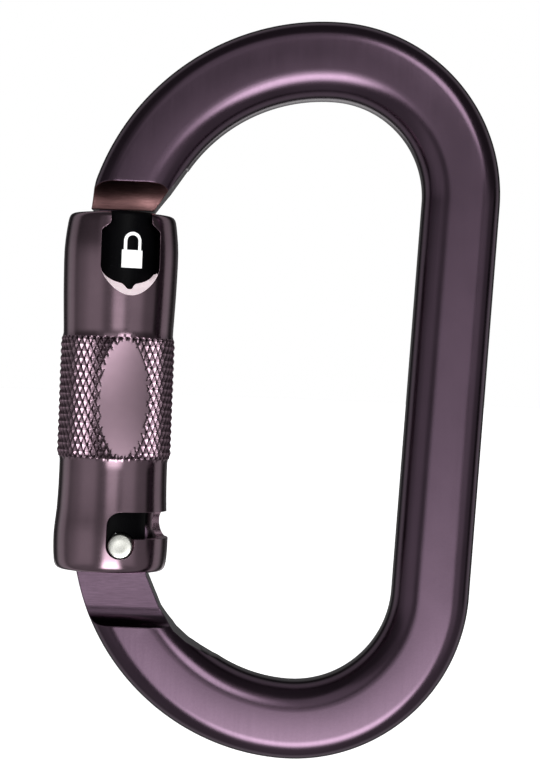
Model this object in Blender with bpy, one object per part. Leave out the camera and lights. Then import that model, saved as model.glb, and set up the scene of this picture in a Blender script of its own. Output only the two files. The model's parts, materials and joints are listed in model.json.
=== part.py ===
"""Oval locking carabiner with a spring-loaded twist sleeve.

The carabiner hangs upright: +Z is up along the gate, +X runs from the gate to the spine,
and -Y is the front. The origin is the point inside the crown bow that a load hangs on.
Outlines below are drawn in gate coordinates: x from the gate's axis, z from the hinge.
"""
import math

import bmesh
import bpy
from mathutils import Vector

MM = 0.001

# Where the gate's axis and the hinge lie from the hanging point.
GATE_X = -29.7 * MM
HINGE_Z = -68.0 * MM

# Frame: a bar bent along a path of lines and arcs, with its inner corners rounder than its outer ones.
BAR_WIDTH = 11.5 * MM
BAR_DEPTH = 10.6 * MM
BAR_CORNERS = (3.1 * MM, 4.2 * MM)
BOW_START = (1.2 * MM, 51.8 * MM)
NOSE_HEADING = math.radians(73.5)
NOSE_RUN = 3.6 * MM
BOW_ARCS_TOP = ((30.4 * MM, math.radians(76.0)), (20.0 * MM, math.radians(89.8)))
SPINE_LENGTH = 58.7 * MM
BOW_ARCS_BOTTOM = ((20.4 * MM, math.radians(90.6)), (28.2 * MM, math.radians(73.0)))
TONGUE_RUN = 2.4 * MM
ARC_STEP = math.radians(3.0)

# Nose: milled thin, with a hooked key that the gate closes over.
NOSE_HALF = 2.2 * MM
NOSE_FOOT = 49.95 * MM
NOSE_MILL_RADIUS = 4.6 * MM
NOSE_MILL_Z = 49.7 * MM
KEY_LEFT = -3.4 * MM
KEY_NECK_RIGHT = 0.5 * MM
KEY_BULB_RIGHT = 2.6 * MM
KEY_LEDGE_Z = 47.6 * MM
KEY_BOTTOM_Z = 44.9 * MM
KEY_CORNER = 0.6 * MM
KEY_HALF = 1.85 * MM
KEY_ROOT = 1.0 * MM
NOSE_CLEAR_HALF = 9.0 * MM
NOSE_CLEAR_LOW = 44.0 * MM
NOSE_TRIM_LOW = 46.0 * MM
NOSE_TRIM_LEFT = ((-3.84 * MM, 55.5 * MM), (-4.6 * MM, 49.9 * MM))
NOSE_TRIM_RIGHT = ((9.39 * MM, 56.5 * MM), (4.75 * MM, 49.9 * MM))

# Tongue: milled thin, and bored for the hinge pin.
TONGUE_HALF = 2.5 * MM
TONGUE_LEFT = -1.9 * MM
TONGUE_RIGHT = 5.7 * MM
TONGUE_TOP = 3.2 * MM
TONGUE_ROOT = -6.0 * MM
TONGUE_CORNER = 1.4 * MM
TONGUE_SPREAD = 1.4 * MM
TONGUE_MILL_RADIUS = 2.8 * MM
TONGUE_MILL_Z = -9.3 * MM
TONGUE_SIDE = 5.72 * MM
NECK_TRIM = (
    (5.65, -4.4), (7.9, -9.4), (10.2, -12.6), (12.1, -14.2), (14.1, -15.35), (16.0, -16.3), (17.4, -16.7),
)
NECK_TRIM_REACH = 20.0 * MM
NECK_TRIM_TOP = 6.0 * MM

# Hinge pin.
HINGE_X = 2.0 * MM
PIN_RADIUS = 1.8 * MM
PIN_BORE = 1.95 * MM
PIN_HALF = 5.7 * MM
PIN_CHAMFER = 0.25 * MM

# Gate: a round arm with a fork, a key pocket and an off-centre bore for its spring.
GATE_RADIUS = 6.0 * MM
GATE_BOTTOM = -3.2 * MM
GATE_TOP = 49.9 * MM
GATE_EDGE = 0.5 * MM
TIP_REACH = 49.6 * MM
FORK_HALF = 2.8 * MM
FORK_TOP = 5.1 * MM
POCKET_HALF = 2.2 * MM
POCKET_FLOOR = 44.1 * MM
POCKET_BACK = 3.0 * MM
TOOTH_X = 0.9 * MM
TOOTH_Z = 48.0 * MM
SEAT_GROOVE_RADIUS = 5.6 * MM
SEAT_GROOVE = (7.9 * MM, 9.5 * MM)

# Gate spring and plunger, in the off-centre bore.
PLUNGER_X = 3.6 * MM
PLUNGER_BORE = 1.4 * MM
PLUNGER_BORE_TOP = 27.0 * MM
PLUNGER_RADIUS = 1.2 * MM
PLUNGER_TIP = 3.5 * MM
PLUNGER_HEAD = 10.0 * MM
PLUNGER_PILOT_RADIUS = 0.55 * MM
PLUNGER_PILOT = 2.0 * MM
GATE_SPRING_RADIUS = 0.92 * MM
GATE_SPRING_WIRE = 0.2 * MM
GATE_SPRING_TURNS = 14

# Sleeve: outer profile as (z, radius), bottom to top.
SLEEVE_PROFILE = (
    (-4.05, 7.55), (-3.8, 7.95), (-3.1, 8.25), (-1.6, 8.48), (0.6, 8.62), (2.2, 8.55),
    (4.6, 8.3), (8.0, 8.14), (12.4, 8.1), (12.9, 8.42), (13.3, 8.55), (30.3, 8.55),
    (30.7, 8.42), (31.3, 8.26), (34.5, 8.36), (39.0, 8.52), (43.5, 8.58), (46.0, 8.38),
    (47.6, 8.08), (48.4, 7.8), (48.75, 7.3),
)
SLEEVE_BOTTOM = -4.05 * MM
SLEEVE_TOP = 48.75 * MM
SLEEVE_BORE = 7.2 * MM
SLEEVE_MOUTH_BORE = 7.48 * MM
SLEEVE_MOUTH_TOP = -3.2 * MM
SLEEVE_GUIDE_BORE = 6.3 * MM
SLEEVE_SHOULDER = 32.6 * MM
SLEEVE_EDGE = 0.4 * MM

# Openings in the sleeve. Azimuth 0 is the front and grows towards the spine.
SLEEVE_TWIST = math.radians(96.0)
WINDOW_AZIMUTH = math.radians(15.0)
WINDOW_HALF = 4.4 * MM
WINDOW_BOTTOM = 38.7 * MM
WINDOW_BOWL = 2.7 * MM
WINDOW_RAMP = 1.75 * MM
WINDOW_SIDE_FLARE = 0.25 * MM
POINT_HALF = 1.1 * MM
POINT_TIP_HALF = 0.35 * MM
POINT_DROP = 0.8 * MM
LIP_HALF = 3.05 * MM
LIP_Z = (46.3 * MM, 47.9 * MM)
WINDOW_DEPTHS = (4.0 * MM, 6.7 * MM, 8.5 * MM, 12.0 * MM)
GUIDE_AZIMUTH = math.asin(2.0 / 8.2)
GUIDE_HALF = 2.0 * MM
GUIDE_WRAP_RADIUS = 8.0 * MM
GUIDE_POCKET_Z = -1.92 * MM
GUIDE_ARM_Z = (1.04 * MM, 5.0 * MM)
GUIDE_CUT = (5.0 * MM, 9.6 * MM)
THUMB_AZIMUTH = math.radians(13.0)
THUMB_Z = 21.8 * MM
THUMB_DEPTH = 0.6 * MM
THUMB_RADII = (26.0 * MM, 53.0 * MM)
THUMB_BLOCK = (5.5 * MM, 10.0 * MM)
KNURL_BAND_RADIUS = 8.55 * MM
TONGUE_NOTCH_HALF = 2.9 * MM
OPEN_NOTCH_TOP = 5.0 * MM
RELIEF_NOTCH_TOP = 2.8 * MM
KEY_NOTCH_HALF = 2.3 * MM
KEY_NOTCH_BOTTOM = 43.3 * MM

# Sleeve spring, with the ring it stands on and the ring it lifts.
SEAT_RING = (5.75 * MM, 6.95 * MM, 8.0 * MM, 9.3 * MM)
THRUST_RING = (6.2 * MM, 7.0 * MM, 30.9 * MM, 32.4 * MM)
SLEEVE_SPRING_RADIUS = 6.6 * MM
SLEEVE_SPRING_WIRE = 0.34 * MM
SLEEVE_SPRING_TURNS = 8
RING_GAP = 0.2 * MM
RING_EDGE = 0.15 * MM

TONGUE_BLANK_HALF = 3.6 * MM
ROUND_STEPS = 72
PIN_STEPS = 48
SMALL_STEPS = 32

# How far cutters run past the part.
CUTTER_REACH = 14.0 * MM
CUTTER_TOP = 56.0 * MM
CUTTER_LOW = -8.0 * MM

# Finishes: name, colour, roughness, metallic.
FINISHES = (
    ("frame_anodised", (0.115, 0.075, 0.092), 0.42, 1.0),
    ("hinge_pin_steel", (0.78, 0.77, 0.74), 0.28, 1.0),
    ("gate_black_anodised", (0.012, 0.012, 0.014), 0.38, 0.6),
    ("plunger_steel", (0.55, 0.55, 0.56), 0.3, 1.0),
    ("gate_spring_steel", (0.5, 0.5, 0.52), 0.32, 1.0),
    ("sleeve_anodised", (0.14, 0.1, 0.115), 0.3, 1.0),
    ("seat_ring_steel", (0.45, 0.45, 0.47), 0.35, 1.0),
    ("thrust_ring_acetal", (0.05, 0.05, 0.05), 0.5, 0.0),
    ("sleeve_spring_steel", (0.5, 0.5, 0.52), 0.32, 1.0),
)

GATE_ORIGIN = Vector((GATE_X, 0.0, HINGE_Z))
HINGE_ORIGIN = Vector((GATE_X + HINGE_X, 0.0, HINGE_Z))
PLUNGER_ORIGIN = Vector((GATE_X + PLUNGER_X, 0.0, HINGE_Z))


def clear_scene():
    for thing in list(bpy.data.objects):
        bpy.data.objects.remove(thing, do_unlink=True)


def make_material(name, colour, roughness, metallic):
    material = bpy.data.materials.new(name)
    material.use_nodes = True
    shader = material.node_tree.nodes["Principled BSDF"]
    shader.inputs["Base Color"].default_value = (*colour, 1.0)
    shader.inputs["Roughness"].default_value = roughness
    shader.inputs["Metallic"].default_value = metallic
    return material


def make_object(name, mesh_builder, location=(0.0, 0.0, 0.0)):
    """Makes an object from a bmesh, with its faces turned outwards."""
    bmesh.ops.recalc_face_normals(mesh_builder, faces=mesh_builder.faces)
    mesh = bpy.data.meshes.new(name)
    mesh_builder.to_mesh(mesh)
    mesh_builder.free()
    made = bpy.data.objects.new(name, mesh)
    made.location = location
    bpy.context.scene.collection.objects.link(made)
    return made


def finish(made, material):
    made.data.materials.append(material)
    made.data.shade_smooth()
    made.data.set_sharp_from_angle(angle=math.radians(28))
    return made


def combine(target, other, operation):
    """Adds a Boolean to target. The other object stays as a hidden cutter."""
    other.hide_render = True
    other.display_type = "WIRE"
    modifier = target.modifiers.new(f"{operation.lower()}_{other.name}", "BOOLEAN")
    modifier.operation = operation
    modifier.solver = "EXACT"
    modifier.object = other


def skin_loops(loops, closed=False):
    """Joins rings of equal length into a tube, with end caps unless it closes on itself."""
    builder = bmesh.new()
    rings = [[builder.verts.new(point) for point in loop] for loop in loops]
    pairs = list(zip(rings, rings[1:]))
    if closed:
        pairs.append((rings[-1], rings[0]))
    count = len(rings[0])
    for ring, following in pairs:
        for i in range(count):
            j = (i + 1) % count
            builder.faces.new((ring[i], ring[j], following[j], following[i]))
    if not closed:
        builder.faces.new(rings[0])
        builder.faces.new(list(reversed(rings[-1])))
    return builder


def turned(section, steps=ROUND_STEPS):
    """Turns a closed (radius, z) section, clear of the axis, about Z."""
    loops = []
    for i in range(steps):
        turn = math.tau * i / steps
        loops.append([(r * math.sin(turn), -r * math.cos(turn), z) for r, z in section])
    return skin_loops(loops, closed=True)


def circle_loop(radius, z, steps=ROUND_STEPS):
    angles = [math.tau * i / steps for i in range(steps)]
    return [(radius * math.sin(a), -radius * math.cos(a), z) for a in angles]


def arc_points(centre, radius, start, end, steps=8):
    """Points on an arc, with its angles in degrees."""
    angles = [math.radians(start + (end - start) * i / steps) for i in range(steps + 1)]
    return [(centre[0] + radius * math.cos(a), centre[1] + radius * math.sin(a)) for a in angles]


def rounded_rectangle(half_width, half_height, corners):
    """A rectangle about the origin as (u, v) points. Its corners differ on the +u and -u sides."""
    points = []
    for i, (u, v) in enumerate(((1, 1), (-1, 1), (-1, -1), (1, -1))):
        corner = corners[0] if u > 0 else corners[1]
        centre = (u * (half_width - corner), v * (half_height - corner))
        points += arc_points(centre, corner, 90 * i, 90 * i + 90, steps=6)
    return points


def prism_y(outline, front, back):
    """A closed solid from an (x, z) outline, between two depths."""
    return skin_loops([[(x, y, z) for x, z in outline] for y in (front, back)])


def prism_x(outline, left, right):
    """A closed solid from a (y, z) outline, between two widths."""
    return skin_loops([[(x, y, z) for y, z in outline] for x in (left, right)])


def at_azimuth(lateral, radial, z, azimuth):
    """Turns a point, given across and out from the axis, to an azimuth about the gate."""
    return (
        radial * math.sin(azimuth) + lateral * math.cos(azimuth),
        -radial * math.cos(azimuth) + lateral * math.sin(azimuth),
        z,
    )


def box_at_azimuth(half_width, bottom, top, azimuth):
    """A cutter that runs outwards from the gate's axis."""
    corners = ((-half_width, bottom), (half_width, bottom), (half_width, top), (-half_width, top))
    depths = (2.0 * MM, CUTTER_REACH)
    return skin_loops([[at_azimuth(u, r, z, azimuth) for u, z in corners] for r in depths])


# ---------------------------------------------------------------- frame


def frame_path():
    """Stations along the bar as (x, z, heading), from the nose round to the tongue."""
    x, z = BOW_START
    heading = NOSE_HEADING
    x -= NOSE_RUN * math.cos(heading)
    z -= NOSE_RUN * math.sin(heading)
    stations = [(x, z, heading)]
    x, z = BOW_START
    stations.append((x, z, heading))
    for arcs, run in ((BOW_ARCS_TOP, SPINE_LENGTH), (BOW_ARCS_BOTTOM, TONGUE_RUN)):
        for radius, sweep in arcs:
            steps = round(sweep / ARC_STEP)
            turn = sweep / steps
            chord = 2 * radius * math.sin(turn / 2)
            for _ in range(steps):
                x += chord * math.cos(heading - turn / 2)
                z += chord * math.sin(heading - turn / 2)
                heading -= turn
                stations.append((x, z, heading))
        x += run * math.cos(heading)
        z += run * math.sin(heading)
        stations.append((x, z, heading))
    return stations


def bar_loops():
    section = rounded_rectangle(BAR_WIDTH / 2, BAR_DEPTH / 2, BAR_CORNERS)
    loops = []
    for x, z, heading in frame_path():
        out_x, out_z = -math.sin(heading), math.cos(heading)
        loops.append([(x + u * out_x, v, z + u * out_z) for u, v in section])
    return loops


def key_outline():
    """The hooked key under the nose: a neck, then a bulb with a ledge on its spine side."""
    top = NOSE_FOOT + KEY_ROOT
    low = KEY_BOTTOM_Z + KEY_CORNER
    points = [(KEY_LEFT, top)]
    points += arc_points((KEY_LEFT + KEY_CORNER, low), KEY_CORNER, 180, 270, steps=4)
    points += arc_points((KEY_BULB_RIGHT - KEY_CORNER, low), KEY_CORNER, 270, 360, steps=4)
    ledge = (KEY_BULB_RIGHT - KEY_CORNER, KEY_LEDGE_Z - KEY_CORNER)
    points += arc_points(ledge, KEY_CORNER, 0, 90, steps=4)
    return points + [(KEY_NECK_RIGHT, KEY_LEDGE_Z), (KEY_NECK_RIGHT, top)]


def tongue_outline():
    """The tongue's head, which the gate's fork straddles."""
    top = TONGUE_TOP - TONGUE_CORNER
    points = [(TONGUE_LEFT - TONGUE_SPREAD, TONGUE_ROOT), (TONGUE_RIGHT, TONGUE_ROOT)]
    points += arc_points((TONGUE_RIGHT - TONGUE_CORNER, top), TONGUE_CORNER, 0, 90, steps=6)
    points += arc_points((TONGUE_LEFT + TONGUE_CORNER, top), TONGUE_CORNER, 90, 180, steps=6)
    return points


def nose_trim_outline(edge, side):
    """Narrows the nose towards its foot, beyond a slanting line."""
    upper, lower = edge
    far = side * CUTTER_REACH
    return [upper, lower, (lower[0], NOSE_TRIM_LOW), (far, NOSE_TRIM_LOW), (far, upper[1])]


def neck_trim_outline():
    """Narrows the neck on its inner side, so that it runs up into the sleeve."""
    slope = [(x * MM, z * MM) for x, z in NECK_TRIM]
    far = [(NECK_TRIM_REACH, slope[-1][1]), (NECK_TRIM_REACH, NECK_TRIM_TOP)]
    return [(TONGUE_SIDE, NECK_TRIM_TOP)] + slope + far


def mill_outline(side, half, radius, level, end, far):
    """A round-cornered step that leaves the bar's end thin, as (y, z) points."""
    points = arc_points((half + radius, level), radius, 180, end, steps=14)
    points += [(CUTTER_REACH, points[-1][1]), (CUTTER_REACH, far), (half, far)]
    return [(side * y, z) for y, z in points]


def pin_bore_cutter(name, location):
    """A cutter along Y through the hinge, placed from the hinge's own axis."""
    angles = [math.tau * i / PIN_STEPS for i in range(PIN_STEPS)]
    outline = [(PIN_BORE * math.cos(a), PIN_BORE * math.sin(a)) for a in angles]
    return make_object(name, prism_y(outline, -CUTTER_REACH, CUTTER_REACH), location)


def build_frame(material):
    """The bent bar, with key and tongue added and both ends trimmed, then milled thin."""
    frame = make_object("frame", skin_loops(bar_loops()), GATE_ORIGIN)
    half, low = NOSE_CLEAR_HALF, NOSE_CLEAR_LOW
    foot = [(-half, low), (half, low), (half, NOSE_FOOT), (-half, NOSE_FOOT)]
    pieces = [("nose_foot_cutter", prism_y(foot, -CUTTER_REACH, CUTTER_REACH), "DIFFERENCE")]
    trims = (
        ("nose_trim_left", nose_trim_outline(NOSE_TRIM_LEFT, -1)),
        ("nose_trim_right", nose_trim_outline(NOSE_TRIM_RIGHT, 1)),
        ("neck_trim", neck_trim_outline()),
    )
    for name, outline in trims:
        pieces.append((name, prism_y(outline, -CUTTER_REACH, CUTTER_REACH), "DIFFERENCE"))
    tongue = prism_y(tongue_outline(), -TONGUE_BLANK_HALF, TONGUE_BLANK_HALF)
    pieces.append(("nose_key_blank", prism_y(key_outline(), -KEY_HALF, KEY_HALF), "UNION"))
    pieces.append(("tongue_blank", tongue, "UNION"))
    mills = (
        ("nose", (NOSE_HALF, NOSE_MILL_RADIUS, NOSE_MILL_Z, 90, NOSE_CLEAR_LOW)),
        ("tongue", (TONGUE_HALF, TONGUE_MILL_RADIUS, TONGUE_MILL_Z, 270, -CUTTER_LOW)),
    )
    for side, label in ((-1, "front"), (1, "back")):
        for end, sizes in mills:
            cutter = prism_x(mill_outline(side, *sizes), -CUTTER_REACH, CUTTER_REACH)
            pieces.append((f"{end}_mill_{label}", cutter, "DIFFERENCE"))
    for name, builder, operation in pieces:
        combine(frame, make_object(name, builder, GATE_ORIGIN), operation)
    combine(frame, pin_bore_cutter("tongue_bore_cutter", HINGE_ORIGIN), "DIFFERENCE")
    return finish(frame, material)


def build_hinge_pin(material):
    rows = (
        (-PIN_HALF, PIN_RADIUS - PIN_CHAMFER), (-PIN_HALF + PIN_CHAMFER, PIN_RADIUS),
        (PIN_HALF - PIN_CHAMFER, PIN_RADIUS), (PIN_HALF, PIN_RADIUS - PIN_CHAMFER),
    )
    loops = [[(x, y, z) for x, z, _ in circle_loop(r, 0.0, PIN_STEPS)] for y, r in rows]
    return finish(make_object("gate_hinge_pin", skin_loops(loops), HINGE_ORIGIN), material)


# ---------------------------------------------------------------- gate


def gate_shift(points):
    """Moves outline points from the gate's axis to the hinge's axis."""
    return [(x - HINGE_X, z) for x, z in points]


def gate_blank():
    rows = (
        (GATE_BOTTOM, GATE_RADIUS - GATE_EDGE), (GATE_BOTTOM + GATE_EDGE, GATE_RADIUS),
        (SEAT_GROOVE[0], GATE_RADIUS), (SEAT_GROOVE[0], SEAT_GROOVE_RADIUS),
        (SEAT_GROOVE[1], SEAT_GROOVE_RADIUS), (SEAT_GROOVE[1], GATE_RADIUS),
        (GATE_TOP - 2 * GATE_EDGE, GATE_RADIUS), (GATE_TOP - GATE_EDGE, GATE_RADIUS - 0.2 * MM),
        (GATE_TOP, GATE_RADIUS - 2 * GATE_EDGE),
    )
    loops = []
    for z, radius in rows:
        loops.append([(x - HINGE_X, y, z) for x, y, z in circle_loop(radius, z)])
    return skin_loops(loops)


def tip_cutter_outline():
    """Rounds the gate's tip about the hinge, so that it clears the nose as it swings."""
    arc = arc_points((HINGE_X, 0.0), TIP_REACH, 102, 78, steps=16)
    return gate_shift(arc + [(CUTTER_REACH, CUTTER_TOP), (-CUTTER_REACH, CUTTER_TOP)])


def pocket_outline():
    """The pocket that takes the nose's key, open at the tip and on the outer side."""
    far = -CUTTER_REACH
    top = CUTTER_TOP
    return gate_shift([
        (far, POCKET_FLOOR), (POCKET_BACK, POCKET_FLOOR), (POCKET_BACK, TOOTH_Z),
        (TOOTH_X, TOOTH_Z), (TOOTH_X, top), (far, top),
    ])


def build_gate(material):
    gate = make_object("gate", gate_blank(), HINGE_ORIGIN)
    fork = gate_shift([
        (-CUTTER_REACH, CUTTER_LOW), (CUTTER_REACH, CUTTER_LOW), (CUTTER_REACH, FORK_TOP),
        (-CUTTER_REACH, FORK_TOP),
    ])
    bore = [
        [(x + PLUNGER_X - HINGE_X, y, level) for x, y, _ in circle_loop(PLUNGER_BORE, 0.0, SMALL_STEPS)]
        for level in (1 * MM, PLUNGER_BORE_TOP)
    ]
    cutters = (
        ("gate_tip_cutter", prism_y(tip_cutter_outline(), -CUTTER_REACH, CUTTER_REACH)),
        ("gate_fork_cutter", prism_y(fork, -FORK_HALF, FORK_HALF)),
        ("gate_pocket_cutter", prism_y(pocket_outline(), -POCKET_HALF, POCKET_HALF)),
        ("plunger_bore_cutter", skin_loops(bore)),
    )
    for name, builder in cutters:
        combine(gate, make_object(name, builder, HINGE_ORIGIN), "DIFFERENCE")
    combine(gate, pin_bore_cutter("gate_bore_cutter", HINGE_ORIGIN), "DIFFERENCE")
    return finish(gate, material)


def build_plunger(material):
    """The follower: a domed tip, a barrel, and a pilot that the spring fits over."""
    rows = (
        (PLUNGER_TIP, 0.45 * MM), (PLUNGER_TIP + 0.2 * MM, 0.85 * MM),
        (PLUNGER_TIP + 0.6 * MM, PLUNGER_RADIUS), (PLUNGER_HEAD, PLUNGER_RADIUS),
        (PLUNGER_HEAD, PLUNGER_PILOT_RADIUS), (PLUNGER_HEAD + PLUNGER_PILOT, PLUNGER_PILOT_RADIUS),
    )
    loops = [circle_loop(radius, z, SMALL_STEPS) for z, radius in rows]
    return finish(make_object("gate_plunger", skin_loops(loops), PLUNGER_ORIGIN), material)


def coil(radius, wire, bottom, top, turns, steps_per_turn, sides):
    """A compression spring along Z, with its first and last turns wound close."""
    low, high = bottom + wire, top - wire
    dead = 2.1 * wire / (high - low)
    steps = turns * steps_per_turn
    loops = []
    for i in range(steps + 1):
        share = i / steps
        turn = math.tau * turns * share
        if share < 1 / turns:
            rise = dead * share * turns
        elif share > 1 - 1 / turns:
            rise = 1 - dead * (1 - share) * turns
        else:
            rise = dead + (1 - 2 * dead) * (share - 1 / turns) / (1 - 2 / turns)
        z = low + (high - low) * rise
        ring = []
        for k in range(sides):
            angle = math.tau * k / sides
            reach = radius + wire * math.cos(angle)
            ring.append((reach * math.sin(turn), -reach * math.cos(turn), z + wire * math.sin(angle)))
        loops.append(ring)
    return skin_loops(loops)


def build_gate_spring(material):
    wire = coil(
        GATE_SPRING_RADIUS, GATE_SPRING_WIRE, PLUNGER_HEAD + RING_GAP,
        PLUNGER_BORE_TOP - RING_GAP, GATE_SPRING_TURNS, 16, 6,
    )
    return finish(make_object("gate_return_spring", wire, PLUNGER_ORIGIN), material)


# ---------------------------------------------------------------- sleeve


def sleeve_section():
    outer = [(radius * MM, z * MM) for z, radius in SLEEVE_PROFILE]
    inner = [
        (SLEEVE_GUIDE_BORE + SLEEVE_EDGE, SLEEVE_TOP), (SLEEVE_GUIDE_BORE, SLEEVE_TOP - SLEEVE_EDGE),
        (SLEEVE_GUIDE_BORE, SLEEVE_SHOULDER), (SLEEVE_BORE, SLEEVE_SHOULDER),
        (SLEEVE_BORE, SLEEVE_MOUTH_TOP), (SLEEVE_MOUTH_BORE, SLEEVE_MOUTH_TOP - 0.3 * MM),
        (SLEEVE_MOUTH_BORE, SLEEVE_BOTTOM),
    ]
    return outer + inner


def window_outline(share):
    """The window as (across, z), with lips at its mouth. The share is how far out its ramp is."""
    flare = share * WINDOW_SIDE_FLARE
    half, lip = WINDOW_HALF + flare, LIP_HALF + flare
    lip_low, lip_high = LIP_Z
    right = [(lip, SLEEVE_TOP + 3 * MM)]
    for i in range(7):
        ease = (1 - math.cos(math.pi * i / 6)) / 2
        right.append((lip + (half - lip) * ease, lip_high + (lip_low - lip_high) * i / 6))
    bowl_top = WINDOW_BOTTOM + WINDOW_BOWL
    drop = WINDOW_BOWL + share * WINDOW_RAMP
    for i in range(1, 16):
        angle = math.radians(90 * i / 16)
        right.append((half * math.cos(angle), bowl_top - drop * math.sin(angle)))
    return right + [(0.0, bowl_top - drop)] + [(-u, z) for u, z in reversed(right)]


def window_cutter():
    """Straight through the wall's inner part, then ramped down below to leave a bright crescent."""
    loops = []
    for radial, share in zip(WINDOW_DEPTHS, (0.0, 0.0, 1.0, 1.0)):
        outline = window_outline(share)
        loops.append([at_azimuth(u, radial, z, WINDOW_AZIMUTH) for u, z in outline])
    return skin_loops(loops)


def window_point_cutter():
    """The small pointed notch in the middle of the window's bowl."""
    low, high = WINDOW_BOTTOM - POINT_DROP, WINDOW_BOTTOM + 1.5 * MM
    shoulder = WINDOW_BOTTOM + 0.1 * MM
    right = [(POINT_HALF, high), (POINT_HALF, shoulder), (POINT_TIP_HALF, low)]
    outline = right + [(-u, z) for u, z in reversed(right)]
    depths = (WINDOW_DEPTHS[0], CUTTER_REACH)
    return skin_loops([[at_azimuth(u, r, z, WINDOW_AZIMUTH) for u, z in outline] for r in depths])


def guide_slot():
    """The L-shaped guide slot, wrapped round the sleeve: a pocket, then a level arm."""
    low, high = GUIDE_ARM_Z
    half = (high - low) / 2
    base, shoulder = GUIDE_POCKET_Z + GUIDE_HALF, high - GUIDE_HALF
    stations = []
    for i in range(17):
        across = GUIDE_HALF * math.sin(math.radians(-90 + 180 * i / 16))
        bulge = math.sqrt(max(GUIDE_HALF ** 2 - across ** 2, 0.0))
        stations.append((across, base - bulge, shoulder + bulge if across < 0 else high))
    arm_end = SLEEVE_TWIST * GUIDE_WRAP_RADIUS
    start = GUIDE_HALF + 0.02 * MM
    stations += [(start + (arm_end - start) * i / 22, low, high) for i in range(23)]
    for i in range(1, 8):
        angle = math.radians(88 * i / 7)
        rise = half * math.cos(angle)
        along = arm_end + 0.02 * MM + half * math.sin(angle)
        stations.append((along, low + half - rise, low + half + rise))
    inner, outer = GUIDE_CUT
    loops = []
    for along, bottom, top in stations:
        corners = ((inner, bottom), (outer, bottom), (outer, top), (inner, top))
        turn = GUIDE_AZIMUTH + along / GUIDE_WRAP_RADIUS
        loops.append([at_azimuth(0.0, r, z, turn) for r, z in corners])
    return skin_loops(loops)


def thumb_dish():
    """A block whose inner face is a slightly crowned saddle. It leaves a smooth oval dish."""
    across_radius, along_radius = THUMB_RADII
    floor = KNURL_BAND_RADIUS - THUMB_DEPTH
    half_across, half_along = THUMB_BLOCK
    loops = []
    for i in range(25):
        z = THUMB_Z + half_along * (i / 12 - 1)
        row = []
        for k in range(13):
            u = half_across * (k / 6 - 1)
            bow = (z - THUMB_Z) ** 2 / (2 * along_radius) - u * u / (2 * across_radius)
            row.append(at_azimuth(u, floor + bow, z, THUMB_AZIMUTH))
        row.append(at_azimuth(half_across, CUTTER_REACH, z, THUMB_AZIMUTH))
        row.append(at_azimuth(-half_across, CUTTER_REACH, z, THUMB_AZIMUTH))
        loops.append(row)
    return skin_loops(loops)


def build_sleeve(material):
    """The sleeve. Two extra notches let each joint be posed alone, so it doesn't truly lock."""
    sleeve = make_object("locking_sleeve", turned(sleeve_section()), GATE_ORIGIN)
    inner_side, outer_side = math.radians(90), math.radians(-90)
    below, above = SLEEVE_BOTTOM - 2 * MM, SLEEVE_TOP + 2 * MM
    cutters = (
        ("window_cutter", window_cutter()),
        ("window_point_cutter", window_point_cutter()),
        ("guide_slot_cutter", guide_slot()),
        ("thumb_dish_cutter", thumb_dish()),
        ("open_tongue_notch_cutter",
         box_at_azimuth(TONGUE_NOTCH_HALF, below, OPEN_NOTCH_TOP, inner_side + SLEEVE_TWIST)),
        ("relief_tongue_notch_cutter",
         box_at_azimuth(TONGUE_NOTCH_HALF, below, RELIEF_NOTCH_TOP, inner_side)),
        ("relief_key_notch_cutter",
         box_at_azimuth(KEY_NOTCH_HALF, KEY_NOTCH_BOTTOM, above, outer_side)),
    )
    for name, builder in cutters:
        combine(sleeve, make_object(name, builder, GATE_ORIGIN), "DIFFERENCE")
    return finish(sleeve, material)


def build_ring(name, size, material):
    inner, outer, bottom, top = size
    section = [
        (inner, bottom), (outer - RING_EDGE, bottom), (outer, bottom + RING_EDGE),
        (outer, top - RING_EDGE), (outer - RING_EDGE, top), (inner, top),
    ]
    return finish(make_object(name, turned(section), GATE_ORIGIN), material)


def build_sleeve_spring(material):
    wire = coil(
        SLEEVE_SPRING_RADIUS, SLEEVE_SPRING_WIRE, SEAT_RING[3] + RING_GAP,
        THRUST_RING[2] - RING_GAP, SLEEVE_SPRING_TURNS, 30, 8,
    )
    return finish(make_object("sleeve_spring", wire, GATE_ORIGIN), material)


def build():
    clear_scene()
    finishes = {
        name: make_material(name, colour, roughness, metallic)
        for name, colour, roughness, metallic in FINISHES
    }
    build_frame(finishes["frame_anodised"])
    build_hinge_pin(finishes["hinge_pin_steel"])
    build_gate(finishes["gate_black_anodised"])
    build_plunger(finishes["plunger_steel"])
    build_gate_spring(finishes["gate_spring_steel"])
    build_sleeve(finishes["sleeve_anodised"])
    build_ring("spring_seat_ring", SEAT_RING, finishes["seat_ring_steel"])
    build_ring("sleeve_thrust_ring", THRUST_RING, finishes["thrust_ring_acetal"])
    build_sleeve_spring(finishes["sleeve_spring_steel"])


build()
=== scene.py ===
"""Looks for the oval locking carabiner: true sleeve and hinge pin, finishes, light and camera.

Shapes repeat the part's dimensions in gate coordinates: x from the gate's axis towards the spine,
z up from the hinge. Lengths are in metres.
"""

import json
import math

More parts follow.
